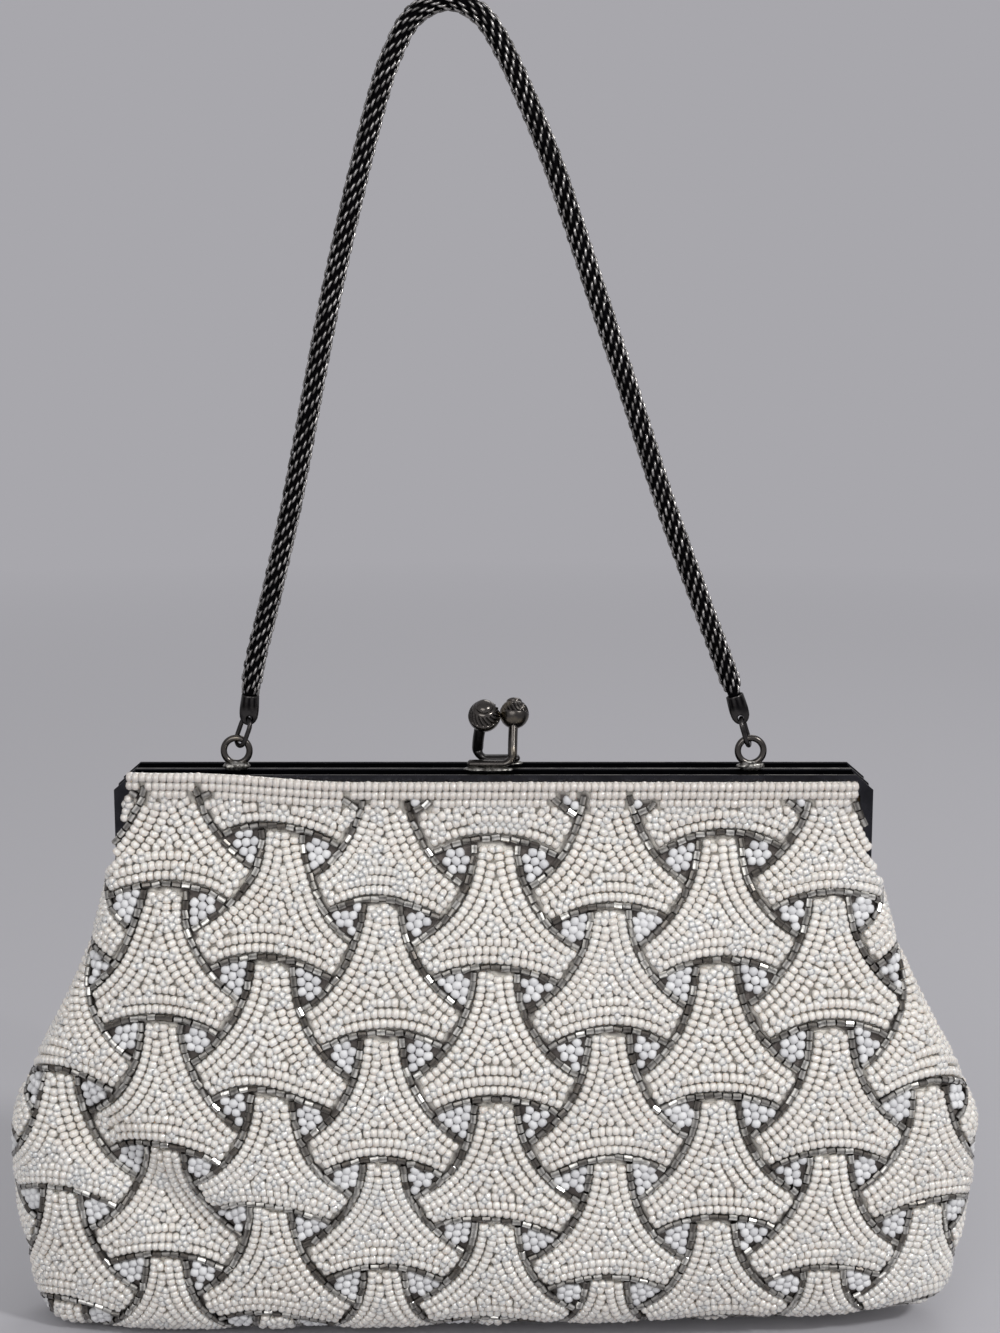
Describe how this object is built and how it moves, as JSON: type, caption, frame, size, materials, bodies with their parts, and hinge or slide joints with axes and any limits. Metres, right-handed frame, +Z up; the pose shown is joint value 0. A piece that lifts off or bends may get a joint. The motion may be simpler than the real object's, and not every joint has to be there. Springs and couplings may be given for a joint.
{
  "type": "beaded frame bag",
  "caption": "Small beaded evening bag on a kiss-lock metal frame, with two ball clasps and a woven mesh chain handle on soldered rings.",
  "frame": {"origin": "underside of the handle chain at its highest point, where a hook or finger holds the bag", "axes": "+X along the frame towards the right as seen from the front, +Y to the back, +Z up"},
  "size_m": [0.2506, 0.0523, 0.3326],
  "materials": {
    "pearl_beads": "pearl-white glass seed beads sewn close on cloth",
    "white_beads": "opaque white glass beads",
    "bugle_beads": "silver-lined smoky glass bugle beads",
    "satin": "ivory satin",
    "gunmetal": "blackened gunmetal plate",
    "pewter": "aged pewter plate",
    "woven_chain": "blackened woven mesh chain",
    "solder": "dull silver solder",
    "paper_cord": "twisted kraft paper"
  },
  "bodies": {
    "handle": {"handle_chain": "woven_chain", "left_end_cap": "gunmetal", "right_end_cap": "gunmetal"},
    "left_link": {"left_link": "pewter"},
    "right_link": {"right_link": "pewter"},
    "front_frame": {"front_frame_half": "gunmetal", "left_handle_ring": "pewter", "right_handle_ring": "pewter", "left_hinge_pin": "gunmetal", "right_hinge_pin": "gunmetal", "front_clasp_arm": "pewter", "front_clasp_ball": "pewter", "front_clasp_button": "pewter", "front_upper_panel": "pearl_beads", "front_bead_edging": "pearl_beads", "front_upper_lining": "satin", "front_binding_cord": "paper_cord"},
    "pouch": {"front_panel": "pearl_beads", "back_panel": "pearl_beads", "front_lining": "satin", "back_lining": "satin", "inner_pocket": "satin"},
    "back_frame": {"back_frame_half": "gunmetal", "back_clasp_arm": "pewter", "back_clasp_ball": "pewter", "back_clasp_button": "pewter", "back_upper_panel": "pearl_beads", "back_bead_edging": "pearl_beads", "back_upper_lining": "satin", "back_binding_cord": "paper_cord"}
  },
  "joints": [
    {"name": "left_link_sway", "type": "hinge", "parent": "handle", "child": "left_link", "pos_m": [-0.05247, 0, -0.17148], "axis": [0, 1, 0], "range_deg": [-3, 3]},
    {"name": "right_link_sway", "type": "hinge", "parent": "handle", "child": "right_link", "pos_m": [0.07129, 0, -0.17132], "axis": [0, 1, 0], "range_deg": [-3, 3]},
    {"name": "handle_swing", "type": "hinge", "parent": "handle", "child": "front_frame", "pos_m": [0.00918, 0, -0.17721], "axis": [1, 0, 0], "range_deg": [-100, 100]},
    {"name": "frame_opening", "type": "hinge", "parent": "front_frame", "child": "pouch", "pos_m": [0.00918, 0.00125, -0.21116], "axis": [-1, 0, 0], "range_deg": [0, 45]},
    {"name": "back_half_opening", "type": "hinge", "parent": "pouch", "child": "back_frame", "pos_m": [0.00918, 0.00125, -0.21116], "axis": [-1, 0, 0], "range_deg": [0, 45]}
  ],
  "couplings": [
    {"joint": "back_half_opening", "follows": "frame_opening", "ratio": 1}
  ]
}
